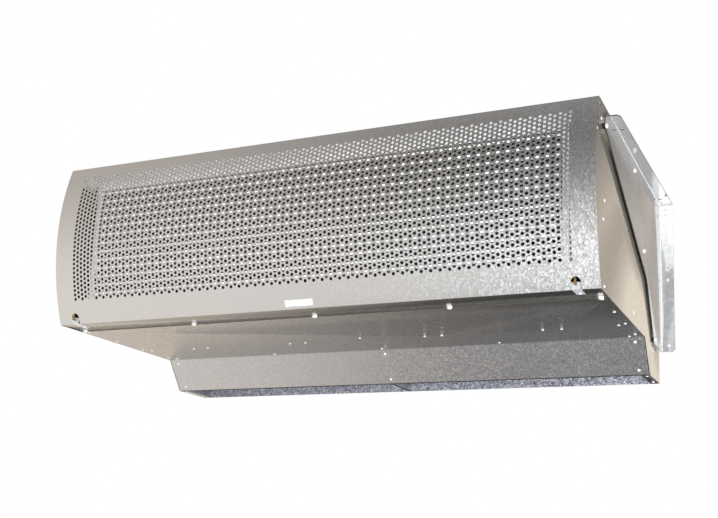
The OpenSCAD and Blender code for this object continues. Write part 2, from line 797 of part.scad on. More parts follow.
module fan_shaft(x) {
  color("silver") placed() x_cylinder(x - shaft_l / 2, x + shaft_l / 2, fan_y, fan_z, shaft_d);
}

module motor_spiders(x) {
  w = housing_w / 2 + sheet;
  color("gray") placed() for (s = [-1, 1]) translate([x + s * w, fan_y, fan_z])
    mirror([s < 0 ? 1 : 0, 0, 0]) difference() {
      union() {
        x_cylinder(0, spider_t * 2, 0, 0, shaft_d * 2.2, 48);
        for (i = [0:2]) rotate([i * 120 + 30, 0, 0])
          box([0, -8, 0], [spider_t, 8, inlet_r + 11]);
      }
      x_cylinder(-1, spider_t * 2 + 1, 0, 0, shaft_d, 48);
    }
}

// Angle feet that carry the front of the scroll housings on the bottom panel
module fan_feet() {
  w = housing_w / 2;
  toe = foot_offset + foot_l / 2 + rivet_d;
  color("silver") placed() for (x = [-fan_offset, fan_offset], s = [-1, 1])
    translate([x, foot_y, 0]) mirror([s < 0 ? 1 : 0, 0, 0]) {
      box([w, -foot_w / 2, sheet], [toe, foot_w / 2, 3 * sheet]);
      box([w, -foot_w / 2, 3 * sheet], [w + 2 * sheet, foot_w / 2, fan_z - inlet_r + foot_w / 2]);
    }
}

module terminal_box() {
  low = [box_x - box_l / 2, box_y, box_z];
  high = [box_x + box_l / 2, box_y + box_d, casing_height - sheet];
  color("lightgray") placed() difference() {
    box(low, high);
    box(low + [box_wall, box_wall, -1], high - [box_wall, box_wall, box_wall]);
    translate([gland_x, box_y + box_d / 2, box_z]) cylinder(d = gland_thread_d, h = 100, $fn = 48);
  }
}

module terminal_box_lid() {
  color("lightgray") placed() box([box_x - box_l / 2, box_y, box_z - box_wall],
                                  [box_x + box_l / 2, box_y + box_d, box_z]);
}

module terminal_block() {
  ways = 6;
  pitch = 10;
  color("white") placed() difference() {
    box([box_x - 45, box_y + 30, casing_height - sheet - box_wall - 22],
        [box_x - 45 + ways * pitch, box_y + 54, casing_height - sheet - box_wall]);
    for (i = [0:ways - 1])
      translate([box_x - 45 + (i + 0.5) * pitch, box_y + 36, casing_height - sheet - box_wall - 23])
        cylinder(d = 5, h = 9, $fn = 16);
  }
}

module cable_gland() {
  nut = gland_thread_d + 8;
  z0 = casing_height;
  color("dimgray") placed() translate([gland_x, box_y + box_d / 2, 0]) difference() {
    union() {
      translate([0, 0, z0 - sheet - box_wall - 6])
        cylinder(d = gland_thread_d, h = sheet + box_wall + 6, $fn = 48);
      translate([0, 0, z0]) cylinder(d = nut, h = 6, $fn = 6);
      translate([0, 0, z0 + 6]) cylinder(d = gland_thread_d + 3, h = 12, $fn = 48);
      translate([0, 0, z0 - sheet - box_wall - 5]) cylinder(d = nut, h = 5, $fn = 6);
    }
    translate([0, 0, z0 - 60]) cylinder(d = gland_bore, h = 120, $fn = 48);
  }
}

front_cover();
cover_hinge_pins();
latch_tabs();
latch_tab_rivets();
latch_button(-1);  // latch_button_left
latch_button(1);  // latch_button_right
side_panel(-1);  // left_side_panel
side_panel(1);  // right_side_panel
top_panel();
rear_panel();
bottom_rail();
bottom_panel();
nozzle_front();
nozzle_end_plates();
nozzle_divider();
fan_deck();
bracket(-1);  // left_bracket
bracket(1);  // right_bracket
bracket_spacers();
bracket_bolts();
rail_screws();
bottom_rivets();
nozzle_rivets();
side_rivets();
name_plate();
filter_frame();
filter_fleece();
filter_rails();
fan_housing(-fan_offset);  // left_fan_housing
fan_housing(fan_offset);  // right_fan_housing
inlet_rings(-fan_offset);  // left_inlet_rings
inlet_rings(fan_offset);  // right_inlet_rings
impeller(-fan_offset);  // left_impeller
impeller(fan_offset);  // right_impeller
motor_can(-fan_offset);  // left_motor_can
motor_can(fan_offset);  // right_motor_can
bearings(-fan_offset);  // left_bearings
bearings(fan_offset);  // right_bearings
stator(-fan_offset);  // left_stator
stator(fan_offset);  // right_stator
fan_shaft(-fan_offset);  // left_fan_shaft
fan_shaft(fan_offset);  // right_fan_shaft
motor_spiders(-fan_offset);  // left_motor_spiders
motor_spiders(fan_offset);  // right_motor_spiders
fan_feet();
terminal_box();
terminal_box_lid();
terminal_block();
cable_gland();
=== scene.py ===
import math

import bmesh
import bpy
import numpy as np
from mathutils import Matrix, Vector


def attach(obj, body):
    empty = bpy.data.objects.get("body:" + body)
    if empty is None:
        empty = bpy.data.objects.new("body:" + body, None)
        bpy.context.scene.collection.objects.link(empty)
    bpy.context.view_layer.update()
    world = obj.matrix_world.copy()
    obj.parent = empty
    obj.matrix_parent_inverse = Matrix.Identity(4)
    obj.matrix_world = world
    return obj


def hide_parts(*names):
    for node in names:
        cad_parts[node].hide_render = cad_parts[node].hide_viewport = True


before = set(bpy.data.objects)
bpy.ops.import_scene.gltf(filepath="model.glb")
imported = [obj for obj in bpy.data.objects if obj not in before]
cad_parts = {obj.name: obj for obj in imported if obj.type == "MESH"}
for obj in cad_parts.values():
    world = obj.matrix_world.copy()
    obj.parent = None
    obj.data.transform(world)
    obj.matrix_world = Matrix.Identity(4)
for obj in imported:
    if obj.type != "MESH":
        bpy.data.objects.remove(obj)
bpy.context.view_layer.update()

# Sizes in millimetres in the casing's own frame: x from the middle, y from the front, z from its bottom

# the casing: half its length, its depth, its height and its sheet
HALF, DEPTH, HEIGHT, SHEET = 750.0, 756.0, 449.0, 1.2
# inner face of the end panels
INNER = HALF - SHEET
# height of the middle wall holes, where the part's frame has its origin
MID_HOLE = 208.0
# the cover: how far its bottom edge stands back, how far it bulges, and how deep its top lip is
SETBACK, BULGE, LIP, LIP_BEND = 12.0, 42.6, 20.0, 2.0
# the ears at the cover's ends: how deep, where they start, and their outer face
EAR_DEPTH, EAR_LOW, EAR_OUT = 22.0, 48.0, INNER - 0.5
# the perforation: a hole and its broken edge, rows and columns, and the first row above the bottom edge
HOLE_R, CHAMFER = 4.0, 0.45
ROW, COLUMN, COLUMNS, ROWS = 12.2, 11.85, 117, 30
FIRST_ROW = 68.7
# the arched notches for the latches
NOTCH_X, NOTCH_W, NOTCH_H = 695.0, 22.0, 28.0
# the blank plate on the cover: half its length, its edges above the bottom edge, its thickness, its gap
PLATE_HALF, PLATE_LOW, PLATE_HIGH, PLATE_T, PLATE_GAP = 39.0, 7.0, 24.0, 0.7, 0.05
# the nozzle: height of its mouth, front edge of the mouth, top edge of its slope, and the flange there
OUTLET_Z, LIP_Y, SLOPE_Y, SLOPE_FLANGE = -89.0, 608.0, 541.0, 34.0
# width of the rail under the cover, distance of rivets from the ends, and flanges of the end panels
RAIL_DEPTH, EDGE, FLANGE = 103.0, 19.0, 28.0
# the fans from the middle, and their feet: from a fan's middle, from the front, and their length
FAN_X, FOOT_X, FOOT_Y, FOOT_L = 374.0, 165.0, 396.0, 50.0
# a rivet head across, and the rivets round the mouth: from the casing's end, and back from its front edge
RIVET_D, MOUTH_RIVET_X, MOUTH_RIVET_Y = 8.0, 12.5, 24.0
# the rivet of a latch tab: from the front, and how far under the bottom the tab's foot lies
TAB_RIVET_Y, TAB_FOOT_Z = 46.0, -0.3
# a rail screw: how far before the rail's back edge, its head across flats, and the head's height
SCREW_BACK, SCREW_FLATS, SCREW_H = 8.25, 11.0, 5.0
# a bracket bolt: its radius, how far it stands inside the end panel and into the bracket, and its head
BOLT_R, BOLT_INSIDE, BOLT_OUTSIDE, BOLT_FLATS, BOLT_H = 3.0, 6.0, 1.0, 9.2, 3.5
# the brackets: inner face of the plate, its thickness, and the height of the top flange
BRACKET_IN, BRACKET_T, BRACKET_TOP = HALF + 6.5, 2.5, HEIGHT - 17
# the filter's pleats: front and back of the folds
PLEAT_FRONT, PLEAT_BACK = 45.0, 66.0


def place(points):
    """Casing millimetres to metres in the part's frame, for an (n, 3) array."""
    p = np.asarray(points, float).reshape(-1, 3)
    return (p - (0, DEPTH, MID_HOLE)) / 1000


def at(x, y, z):
    """The same for one point, as a vector."""
    return Vector(place([x, y, z])[0])


# ---------------------------------------------------------------- materials

def rgb(text):
    """An sRGB hex colour as the linear values that Blender's nodes take."""
    v = [int(text[i:i + 2], 16) / 255 for i in (1, 3, 5)]
    return [c / 12.92 if c <= 0.04045 else ((c + 0.055) / 1.055) ** 2.4 for c in v] + [1.0]


def add(tree, kind, inputs=None, **props):
    """Adds a node; an input given as a socket is linked, and any other value is set on it."""
    n = tree.nodes.new("ShaderNode" + kind)
    for k, v in props.items():
        setattr(n, k, v)
    for k, v in (inputs or {}).items():
        if isinstance(v, bpy.types.NodeSocket):
            tree.links.new(v, n.inputs[k])
        else:
            n.inputs[k].default_value = v
    return n


def math_node(tree, op, a, b=0.0, c=0.0):
    """A Math node's result."""
    return add(tree, "Math", {0: a, 1: b, 2: c}, operation=op).outputs[0]


def ramp(tree, fac, stops):
    """A colour ramp with stops of (position, hex or linear colour)."""
    n = add(tree, "ValToRGB", {"Fac": fac})
    els = n.color_ramp.elements
    while len(els) < len(stops):
        els.new(0.5)
    for e, (p, c) in zip(els, stops):
        e.position, e.color = p, rgb(c) if isinstance(c, str) else c
    return n.outputs[0]


def material(name):
    """A material, its tree, its shader and the object coordinates in metres."""
    m = bpy.data.materials.new(name)
    m.use_nodes = True
    t = m.node_tree
    return m, t, t.nodes["Principled BSDF"], add(t, "TexCoord").outputs["Object"]


def zinc(name, dark, light, cell, tilt, rough, stretch=(1, 1, 1), metallic=1.0):
    """Hot-dip galvanised sheet: flat crystals, each with its own lean, shade and polish, under a fine grain.
    The lean and the contrast go from the first tilt left of the middle to the second at the right end; the
    growing contrast of the crystals' colour is painted, standing in for the stronger play of reflections
    towards the right end."""
    m, t, bsdf, where = material(name)
    along = add(t, "SeparateXYZ", {0: where}).outputs["X"]
    lean_scale = add(t, "MapRange", {0: along, 1: -0.1, 2: 0.6, 3: tilt[0], 4: tilt[1]}).outputs[0]
    scaled = add(t, "Mapping", {"Vector": where, "Scale": stretch}).outputs[0]
    big = add(t, "TexVoronoi", {"Vector": scaled, "Scale": 1 / cell}).outputs["Color"]
    small = add(t, "TexVoronoi", {"Vector": scaled, "Scale": 2.7 / cell}).outputs["Color"]
    grain = add(t, "TexNoise", {"Vector": where, "Scale": 900.0, "Detail": 3.0}).outputs[0]
    cloud = add(t, "TexNoise", {"Vector": where, "Scale": 5.0, "Detail": 4.0}).outputs[0]
    parts = add(t, "SeparateColor", {0: big}).outputs
    fine = add(t, "SeparateColor", {0: small}).outputs
    shade = math_node(t, "MULTIPLY", parts[0], 0.34)
    shade = math_node(t, "MULTIPLY_ADD", fine[0], 0.22, shade)
    shade = math_node(t, "MULTIPLY_ADD", grain, 0.22, shade)
    shade = math_node(t, "MULTIPLY_ADD", cloud, 0.22, shade)
    # painted: the crystals' colour contrast grows towards the right end, standing in for the stronger play
    # of reflections there
    contrast = math_node(t, "DIVIDE", lean_scale, max(tilt))
    shade = math_node(t, "MULTIPLY_ADD", math_node(t, "SUBTRACT", shade, 0.5), contrast, 0.5)
    t.links.new(ramp(t, shade, [(0.2, dark), (0.8, light)]), bsdf.inputs["Base Color"])
    polish = add(t, "MapRange", {0: parts[1], 3: rough[0], 4: rough[1]}).outputs[0]
    t.links.new(polish, bsdf.inputs["Roughness"])
    bsdf.inputs["Metallic"].default_value = metallic
    lean = add(t, "VectorMath", {0: big, 1: small}, operation="ADD").outputs[0]
    lean = add(t, "VectorMath", {0: lean, 1: (1.0, 1.0, 1.0)}, operation="SUBTRACT").outputs[0]
    lean = add(t, "VectorMath", {0: lean, 3: lean_scale}, operation="SCALE").outputs[0]
    face = add(t, "NewGeometry").outputs["Normal"]
    n = add(t, "VectorMath", {0: lean, 1: face}, operation="ADD").outputs[0]
    n = add(t, "VectorMath", {0: n}, operation="NORMALIZE").outputs[0]
    wave = add(t, "TexNoise", {"Vector": where, "Scale": 7.0, "Detail": 1.0}).outputs[0]
    bump = add(t, "Bump", {"Height": wave, "Normal": n, "Strength": 0.12, "Distance": 0.004})
    t.links.new(bump.outputs[0], bsdf.inputs["Normal"])
    return m


def metal(name, dark, light, rough=(0.2, 0.35), scale=300.0, metallic=1.0):
    """Plain plated or cast metal with fine mottling in its shade and polish."""
    m, t, bsdf, where = material(name)
    grain = add(t, "TexNoise", {"Vector": where, "Scale": scale, "Detail": 4.0}).outputs[0]
    t.links.new(ramp(t, grain, [(0.3, dark), (0.7, light)]), bsdf.inputs["Base Color"])
    polish = add(t, "MapRange", {0: grain, 1: 0.3, 2: 0.7, 3: rough[1], 4: rough[0]}).outputs[0]
    t.links.new(polish, bsdf.inputs["Roughness"])
    bsdf.inputs["Metallic"].default_value = metallic
    bump = add(t, "Bump", {"Height": grain, "Strength": 0.1, "Distance": 0.0003})
    t.links.new(bump.outputs[0], bsdf.inputs["Normal"])
    return m


def moulded(name, dark, light, rough):
    """Moulded plastic or rubber with a fine spark-eroded surface."""
    m, t, bsdf, where = material(name)
    grain = add(t, "TexNoise", {"Vector": where, "Scale": 700.0, "Detail": 3.0}).outputs[0]
    t.links.new(ramp(t, grain, [(0.3, dark), (0.7, light)]), bsdf.inputs["Base Color"])
    bsdf.inputs["Roughness"].default_value = rough
    n = add(t, "Bump", {"Height": grain, "Strength": 0.15, "Distance": 0.0002})
    t.links.new(n.outputs[0], bsdf.inputs["Normal"])
    return m


# Galvanised steel sheet of the perforated cover, with its fine spangle
COVER = zinc("cover_zinc", "#CFCECE", "#F4F4F4", 0.003, (0.015, 0.13), (0.24, 0.32), (1, 1, 0.6))
# Punched edge of the holes, rough torn steel that scatters light
PUNCHED = metal("punched_edge", "#5E5E5E", "#7C7C7C", rough=(0.6, 0.8), scale=900.0, metallic=0.0)
# Galvanised steel sheet of the casing's end panels
SIDE = zinc("side_zinc", "#E6E1D6", "#F0EBE1", 0.012, (0.012, 0.012), (0.05, 0.08), metallic=0.85)
# Galvanised steel sheet of the panels under and over the casing
PANEL = zinc("panel_zinc", "#BDBCBA", "#D8D7D5", 0.010, (0.02, 0.03), (0.22, 0.30))
# Inner face of the rear panel, in strong dark and bright crystals where it shows in the outlet
BACK = zinc("back_zinc", "#303342", "#D8DAE8", 0.005, (0.2, 0.3), (0.24, 0.38), metallic=0.4)
# Galvanised steel sheet of the nozzle, with a coarse bright spangle
NOZZLE = zinc("nozzle_zinc", "#B4B4B6", "#F4F4F6", 0.005, (0.03, 0.24), (0.22, 0.34))
# Galvanised steel sheet of the thick brackets
BRACKET = zinc("bracket_zinc", "#ECEDEE", "#FAFAFA", 0.010, (0.02, 0.02), (0.10, 0.16), metallic=0.9)
# Galvanised steel sheet of the parts inside the casing
INSIDE = zinc("inside_zinc", "#A9A9A8", "#DADADA", 0.014, (0.08, 0.08), (0.30, 0.45))
# Bright galvanised strip of the filter frame and its rails
STRIP = zinc("strip_zinc", "#DDDDDC", "#FAFAFA", 0.010, (0.05, 0.05), (0.28, 0.40), metallic=0.3)
# Galvanised steel sheet of the rail under the cover's edge
RAIL = zinc("rail_zinc", "#A8A7A5", "#C4C3C1", 0.010, (0.02, 0.03), (0.16, 0.22))
# Sheared edge of the bottom panel, where the steel shows bare
SHEARED = metal("sheared_edge", "#A5A29C", "#B3B0AA", rough=(0.4, 0.5), scale=900.0)
# Cut edges and back faces of the brackets, and the edges round the outlet, painted near black as the shade
# of the gaps beside them
PAINTED_SHADE_EDGE = metal("edge_painted_shade", "#2A2927", "#3B3A37", rough=(0.5, 0.6), scale=900.0, metallic=0.3)
# Inside of a bend, painted white as the highlight along the fold
PAINTED_BEND_HIGHLIGHT = metal("bend_painted_highlight", "#FAFAFA", "#FFFFFF", rough=(0.4, 0.5), scale=200.0, metallic=0.0)
# Inner faces of the end panels, painted dark as the shade inside the casing
PAINTED_SHADE_INSIDE = metal("inner_sheet_painted_shade", "#2E2D2B", "#403F3C", rough=(0.6, 0.7), scale=60.0, metallic=0.2)
# Bright zinc plate on rivets, bolts and screws
PLATED = metal("bright_zinc_plate", "#E2E2E1", "#F0F0EF", rough=(0.2, 0.3), metallic=0.3)
# Zinc plate with a blue passivation on the latch tabs
TAB = metal("blue_zinc_plate", "#CDD3DA", "#EEF1F5", rough=(0.2, 0.3), metallic=0.5)
# Ground steel of shafts and bearing rings
STEEL = metal("ground_steel", "#B4B5B6", "#D9DADB", rough=(0.12, 0.22))
# Brass of the turn buttons
BRASS = metal("brass", "#94764A", "#C4A877", rough=(0.22, 0.34))
# Die-cast aluminium of the motor cans
CAST = metal("cast_aluminium", "#7E8083", "#A5A7A9", rough=(0.38, 0.5), scale=600.0)
# Lacquered laminations and windings inside the motors
WINDING = metal("lacquered_winding", "#5A2A12", "#8A4A22", rough=(0.3, 0.45), scale=450.0, metallic=0.0)
# Pale lacquered aluminium of the blank plate on the cover
PLATE = metal("plate_lacquer", "#C6C6C4", "#D0D0CE", rough=(0.3, 0.42), scale=120.0, metallic=0.0)
# Black rubber of the bracket spacers
RUBBER = moulded("black_rubber", "#141414", "#242424", 0.75)
# Light grey moulded plastic of the terminal box
LIGHT = moulded("light_grey_plastic", "#C9CAC8", "#DEDFDD", 0.5)
# Black polyamide of the cable gland
POLYAMIDE = moulded("black_polyamide", "#18181A", "#2A2A2C", 0.45)


def fleece():
    """Pleated filter fleece: white where the pleats come forward, and painted grey to near black down in the
    folds as their shade.
    """
    m, t, bsdf, where = material("filter_fleece")
    y = add(t, "SeparateXYZ", {0: where}).outputs["Y"]
    front, back = (PLEAT_FRONT - DEPTH) / 1000, (PLEAT_BACK - DEPTH) / 1000
    deep = add(t, "MapRange", {0: y, 1: front, 2: back}).outputs[0]
    fibre = add(t, "TexNoise", {"Vector": where, "Scale": 1400.0, "Detail": 4.0}).outputs[0]
    fac = math_node(t, "MULTIPLY_ADD", fibre, 0.25, math_node(t, "SUBTRACT", deep, 0.12))
    # the ramp paints the folds grey to near black by their depth: painted shade
    t.links.new(ramp(t, fac, [(0.0, "#FFFFFF"), (0.2, "#F2F1EE"), (0.34, "#2A2A2A"), (0.55, "#070707")]),
                bsdf.inputs["Base Color"])
    bsdf.inputs["Roughness"].default_value = 0.9
    bsdf.inputs["Sheen Weight"].default_value = 0.2
    n = add(t, "Bump", {"Height": fibre, "Strength": 0.4, "Distance": 0.0004})
    t.links.new(n.outputs[0], bsdf.inputs["Normal"])
    return m


FLEECE = fleece()


# ---------------------------------------------------------------- mesh helpers

def finish_piece(obj, mat, body, slot, *nodes):
    """Gives a piece its materials, links it, and says its body and the nodes that it replaces; slot is not
    used.
    """
    for m in mat if isinstance(mat, tuple) else (mat,):
        obj.data.materials.append(m)
    if obj.name not in bpy.context.scene.collection.objects:
        bpy.context.scene.collection.objects.link(obj)
    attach(obj, body)
    if nodes:
        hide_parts(*nodes)
    return obj


class Builder:
    """Collects vertices in casing millimetres with their normals, and the faces on them."""

    def __init__(self):
        self.points, self.normals, self.faces, self.mats, self.count = [], [], [], [], 0

    def add(self, points, normals, faces, mat=0):
        """Points and normals, and faces that count from the first of these points."""
        self.points.append(np.asarray(points, float).reshape(-1, 3))
        self.normals.append(np.asarray(normals, float).reshape(-1, 3))
        self.faces.extend((np.asarray(faces) + self.count).tolist())
        self.mats.extend([mat] * len(faces))
        self.count += len(self.points[-1])

    def grid(self, points, normals, flip=False):
        """A rectangular net of points, shaped (rows, columns, 3)."""
        points = np.asarray(points, float)
        normals = np.broadcast_to(np.asarray(normals, float), points.shape)
        r, c = points.shape[:2]
        i = np.arange(r * c).reshape(r, c)
        f = np.stack([i[:-1, :-1], i[:-1, 1:], i[1:, 1:], i[1:, :-1]], -1).reshape(-1, 4)
        self.add(points, normals, f[:, ::-1] if flip else f)

    def object(self, name):
        """The finished mesh as an object, with the normals as given."""
        me = bpy.data.meshes.new(name)
        n = np.concatenate(self.normals)
        me.from_pydata(place(np.concatenate(self.points)).tolist(), [], self.faces)
        me.polygons.foreach_set("use_smooth", [True] * len(me.polygons))
        me.polygons.foreach_set("material_index", self.mats)
        me.normals_split_custom_set_from_vertices((n / np.linalg.norm(n, axis=1)[:, None]).tolist())
        me.update()
        return bpy.data.objects.new(name, me)


def smooth(me, degrees):
    """Smooth shading up to an angle between faces."""
    me.polygons.foreach_set("use_smooth", [True] * len(me.polygons))
    me.set_sharp_from_angle(angle=math.radians(degrees))


def breadth(face):
    """How broad a long face is."""
    return 2 * face.calc_area() / face.calc_perimeter()


def dress(node, mat, body, slot, inner, outer, broken=0.22):
    """A copy of a node with real bend radii in and out on its folds, and broken edges on its rims, in mm."""
    bm = bmesh.new()
    bm.from_mesh(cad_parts[node].data)
    bmesh.ops.remove_doubles(bm, verts=bm.verts, dist=2e-6)
    bmesh.ops.dissolve_limit(bm, angle_limit=math.radians(0.5), verts=bm.verts, edges=bm.edges)
    sharp = [e for e in bm.edges if e.is_manifold and e.calc_face_angle(0) > 0.35]
    folds = {}
    for e in sharp:
        if e.calc_length() > 0.03 and min(breadth(f) for f in e.link_faces) > 0.0035:
            folds[e] = e.is_convex
    for convex, width in ((True, outer), (False, inner)):
        edges = [e for e, c in folds.items() if c == convex and e.is_valid]
        if edges and width:
            bmesh.ops.bevel(bm, geom=edges, offset=width / 1000, segments=4, profile=0.5, affect="EDGES",
                            clamp_overlap=True)
            folds = {e: c for e, c in folds.items() if e.is_valid}
    if broken:
        edges = [e for e in bm.edges if e.is_manifold and e.calc_face_angle(0) > 1.0]
        bmesh.ops.bevel(bm, geom=edges, offset=broken / 1000, segments=1, affect="EDGES", clamp_overlap=True)
    me = bpy.data.meshes.new(node + "_sheet")
    bm.to_mesh(me)
    bm.free()
    smooth(me, 38)
    return finish_piece(bpy.data.objects.new(node + "_sheet", me), mat, body, slot, node)


# ---------------------------------------------------------------- perforated cover

chord = math.hypot(SETBACK, HEIGHT)
ARC_R = ((chord / 2) ** 2 + BULGE ** 2) / (2 * BULGE)
ARC_Y = SETBACK / 2 + (ARC_R - BULGE) * HEIGHT / chord
ARC_Z = HEIGHT / 2 + (ARC_R - BULGE) * SETBACK / chord
ARC_LOW = math.atan2(-ARC_Z, ARC_Y - SETBACK)
ARC_HIGH = math.atan2(HEIGHT - ARC_Z, ARC_Y)


def on_arc(x, s, depth=0.0):
    """Points and outward normals at x and arc length s up from the bottom edge, depth under the face."""
    x, s = np.broadcast_arrays(np.asarray(x, float), np.asarray(s, float))
    a = ARC_LOW + s / ARC_R
    r = ARC_R - depth
    n = np.stack([0 * a, -np.cos(a), np.sin(a)], -1)
    return np.stack([x, ARC_Y - r * np.cos(a), ARC_Z + r * np.sin(a)], -1), n


def both_faces(b, x, s):
    """A patch of the sheet from a net of x and s: its front and its back."""
    p, n = on_arc(x, s)
    b.grid(p, n)
    p, n = on_arc(x, s, SHEET)
    b.grid(p, -n, flip=True)


def net(xs, ss):
    """A rectangular net of x and s."""
    return np.meshgrid(np.asarray(xs, float), np.asarray(ss, float))


def perforated_field(b):
    """The field of holes: a cell of sheet round each one, its broken edge and its wall."""
    # a cell has eight points on its border and sixteen round the hole
    turn = np.arange(16) * math.pi / 8
    ring = np.stack([np.cos(turn), np.sin(turn)], -1)
    border = np.array([(1, 0), (1, 1), (0, 1), (-1, 1), (-1, 0), (-1, -1), (0, -1), (1, -1)])
    border = border * (COLUMN / 2, ROW / 2)
    cell = []
    for k in range(8):
        j, r0, r1, r2 = (k + 1) % 8, 8 + 2 * k, 9 + 2 * k, 8 + (2 * k + 2) % 16
        cell += [(k, r1, r0), (k, j, r1), (j, r2, r1)]
    cell = np.array(cell)
    wall = np.array([(k, (k + 1) % 16, 16 + (k + 1) % 16, 16 + k) for k in range(16)])
    # every second column is half a row higher and one hole shorter
    cx, cs = [], []
    for i in range(COLUMNS):
        for j in range(ROWS - i % 2):
            cx.append((i - (COLUMNS - 1) / 2) * COLUMN)
            cs.append(FIRST_ROW + (j + (i % 2) / 2) * ROW)
    cx, cs = np.array(cx)[:, None], np.array(cs)[:, None]

    def repeat(faces, step):
        return (faces[None] + (np.arange(len(cx)) * step)[:, None, None]).reshape(-1, faces.shape[1])

    for depth, grow, sign in ((0.0, CHAMFER, 1), (SHEET, 0.0, -1)):
        flat = np.concatenate([border, ring * (HOLE_R + grow)])
        p, n = on_arc(cx + flat[None, :, 0], cs + flat[None, :, 1], depth)
        b.add(p, sign * n, repeat(cell if sign > 0 else cell[:, ::-1], len(flat)))
    # from the face through the broken edge to the wall's end, with normals towards the hole's axis
    for d0, r0, d1, r1, out in (
        (0.0, HOLE_R + CHAMFER, CHAMFER, HOLE_R, 0.7),
        (CHAMFER, HOLE_R, SHEET, HOLE_R, 0.0),
    ):
        p0, n0 = on_arc(cx + ring[None, :, 0] * r0, cs + ring[None, :, 1] * r0, d0)
        p1, _ = on_arc(cx + ring[None, :, 0] * r1, cs + ring[None, :, 1] * r1, d1)
        up = np.stack([0 * n0[..., 0], n0[..., 2], -n0[..., 1]], -1)
        inward = -(ring[None, :, :1] * np.array([1.0, 0, 0]) + ring[None, :, 1:] * up)
        n = inward + out * n0
        b.add(np.concatenate([p0, p1], 1), np.concatenate([n, n], 1), repeat(wall, 2 * len(ring)), mat=1)


def plain_margins(b, first, last, top):
    """The plain sheet round the field: the half cells of the short columns, both ends, and the top strip."""
    edge = COLUMNS * COLUMN / 2
    for i in range(1, COLUMNS, 2):
        x = (i - (COLUMNS - 1) / 2) * COLUMN
        for s0, s1 in ((first, FIRST_ROW), (last - ROW / 2, last)):
            both_faces(b, *net([x - COLUMN / 2, x, x + COLUMN / 2], [s0, s1]))
    for x0, x1 in ((-HALF, -edge), (edge, HALF)):
        both_faces(b, *net(np.linspace(x0, x1, 5), np.linspace(first, last, 2 * ROWS + 1)))
    both_faces(b, *net([-HALF, -edge, 0, edge, HALF], np.linspace(last, top, 7)))


def top_lip(b, back):
    """The top, rounded over into its lip; back is how far the bend reaches either way."""
    for r, sign in ((LIP_BEND, 1), (LIP_BEND - SHEET, -1)):
        a = np.linspace(ARC_HIGH - back / ARC_R, math.pi / 2, 7)
        n = np.stack([0 * a, -np.cos(a), np.sin(a)], -1)[:, None, :].repeat(2, 1)
        p = np.array([0, back, HEIGHT - LIP_BEND]) + r * n
        p[:, 0, 0], p[:, 1, 0] = -EAR_OUT, EAR_OUT
        b.grid(p, sign * n, flip=sign < 0)
        z = HEIGHT - LIP_BEND + r
        x, y = net([-EAR_OUT, EAR_OUT], [back, LIP])
        b.grid(np.stack([x, y, 0 * x + z], -1), (0, 0, sign), flip=sign < 0)
    b.grid([[(-EAR_OUT, LIP, HEIGHT - SHEET), (EAR_OUT, LIP, HEIGHT - SHEET)],
            [(-EAR_OUT, LIP, HEIGHT), (EAR_OUT, LIP, HEIGHT)]], (0, 1, 0), flip=True)


def bottom_strip(b, first):
    """The plain strip under the field, cut by the two arched notches."""
    r = NOTCH_W / 2
    steps = np.linspace(0, first, 12)
    for x0, x1 in ((-HALF, -NOTCH_X - r), (-NOTCH_X + r, NOTCH_X - r), (NOTCH_X + r, HALF)):
        both_faces(b, *net(np.linspace(x0, x1, 5), steps))
        rim(b, [(x, 0) for x in np.linspace(x0, x1, 5)], (0, -1))
    for side in (-1, 1):
        turn = np.linspace(math.pi, 0, 17)
        x = side * NOTCH_X + r * np.cos(turn)
        z = NOTCH_H - r + r * np.sin(turn)
        s = (np.arcsin((z - ARC_Z) / ARC_R) - ARC_LOW) * ARC_R
        rows = np.linspace(0, 1, 9)[:, None]
        both_faces(b, np.broadcast_to(x, (9, 17)), s[None] * (1 - rows) + first * rows)
        for k in range(16):
            mid = (turn[k] + turn[k + 1]) / 2
            rim(b, [(x[k], s[k]), (x[k + 1], s[k + 1])], (-math.cos(mid), -math.sin(mid)))
        rim(b, [(x[0], 0), (x[0], s[0])], (1, 0))
        rim(b, [(x[-1], s[-1]), (x[-1], 0)], (-1, 0))


def ears(b, top):
    """The ears that carry the hinge, folded in at both ends: their faces, edges and ends."""
    low = (math.asin((EAR_LOW - ARC_Z) / ARC_R) - ARC_LOW) * ARC_R
    s = np.linspace(low, top - 1, 33)
    deep = SHEET + EAR_DEPTH
    back = -on_arc(0 * s, s)[1][:, None, :].repeat(2, 1)
    for side in (-1, 1):
        for x, sign in ((EAR_OUT, 1), (EAR_OUT - SHEET, -1)):
            p = np.stack([on_arc(side * x, s, SHEET)[0], on_arc(side * x, s, deep)[0]], 1)
            b.grid(p, (side * sign, 0, 0), flip=side * sign < 0)
        for d in (SHEET, deep):
            p = np.stack([on_arc(side * x, s, d)[0] for x in (EAR_OUT, EAR_OUT - SHEET)], 1)
            b.grid(p, back, flip=side < 0)
        for e, sign in ((s[0], -1), (s[-1], 1)):
            p = [[on_arc(side * x, e, d)[0] for x in (EAR_OUT, EAR_OUT - SHEET)] for d in (SHEET, deep)]
            b.grid(p, (0, 0, sign), flip=side == sign)


def perforated_cover():
    """The curved cover with every hole of its perforation, its lip, its notches and its ears."""
    b = Builder()
    first, last = FIRST_ROW - ROW / 2, FIRST_ROW + (ROWS - 0.5) * ROW
    back = LIP_BEND * math.tan((math.pi / 2 - ARC_HIGH) / 2)
    top = (ARC_HIGH - ARC_LOW) * ARC_R - back
    perforated_field(b)
    plain_margins(b, first, last, top)
    top_lip(b, back)
    bottom_strip(b, first)
    sides = np.linspace(0, top, 41)
    rim(b, [(HALF, s) for s in sides], (1, 0))
    rim(b, [(-HALF, s) for s in sides[::-1]], (-1, 0))
    ears(b, top)
    return b.object("perforated_cover")


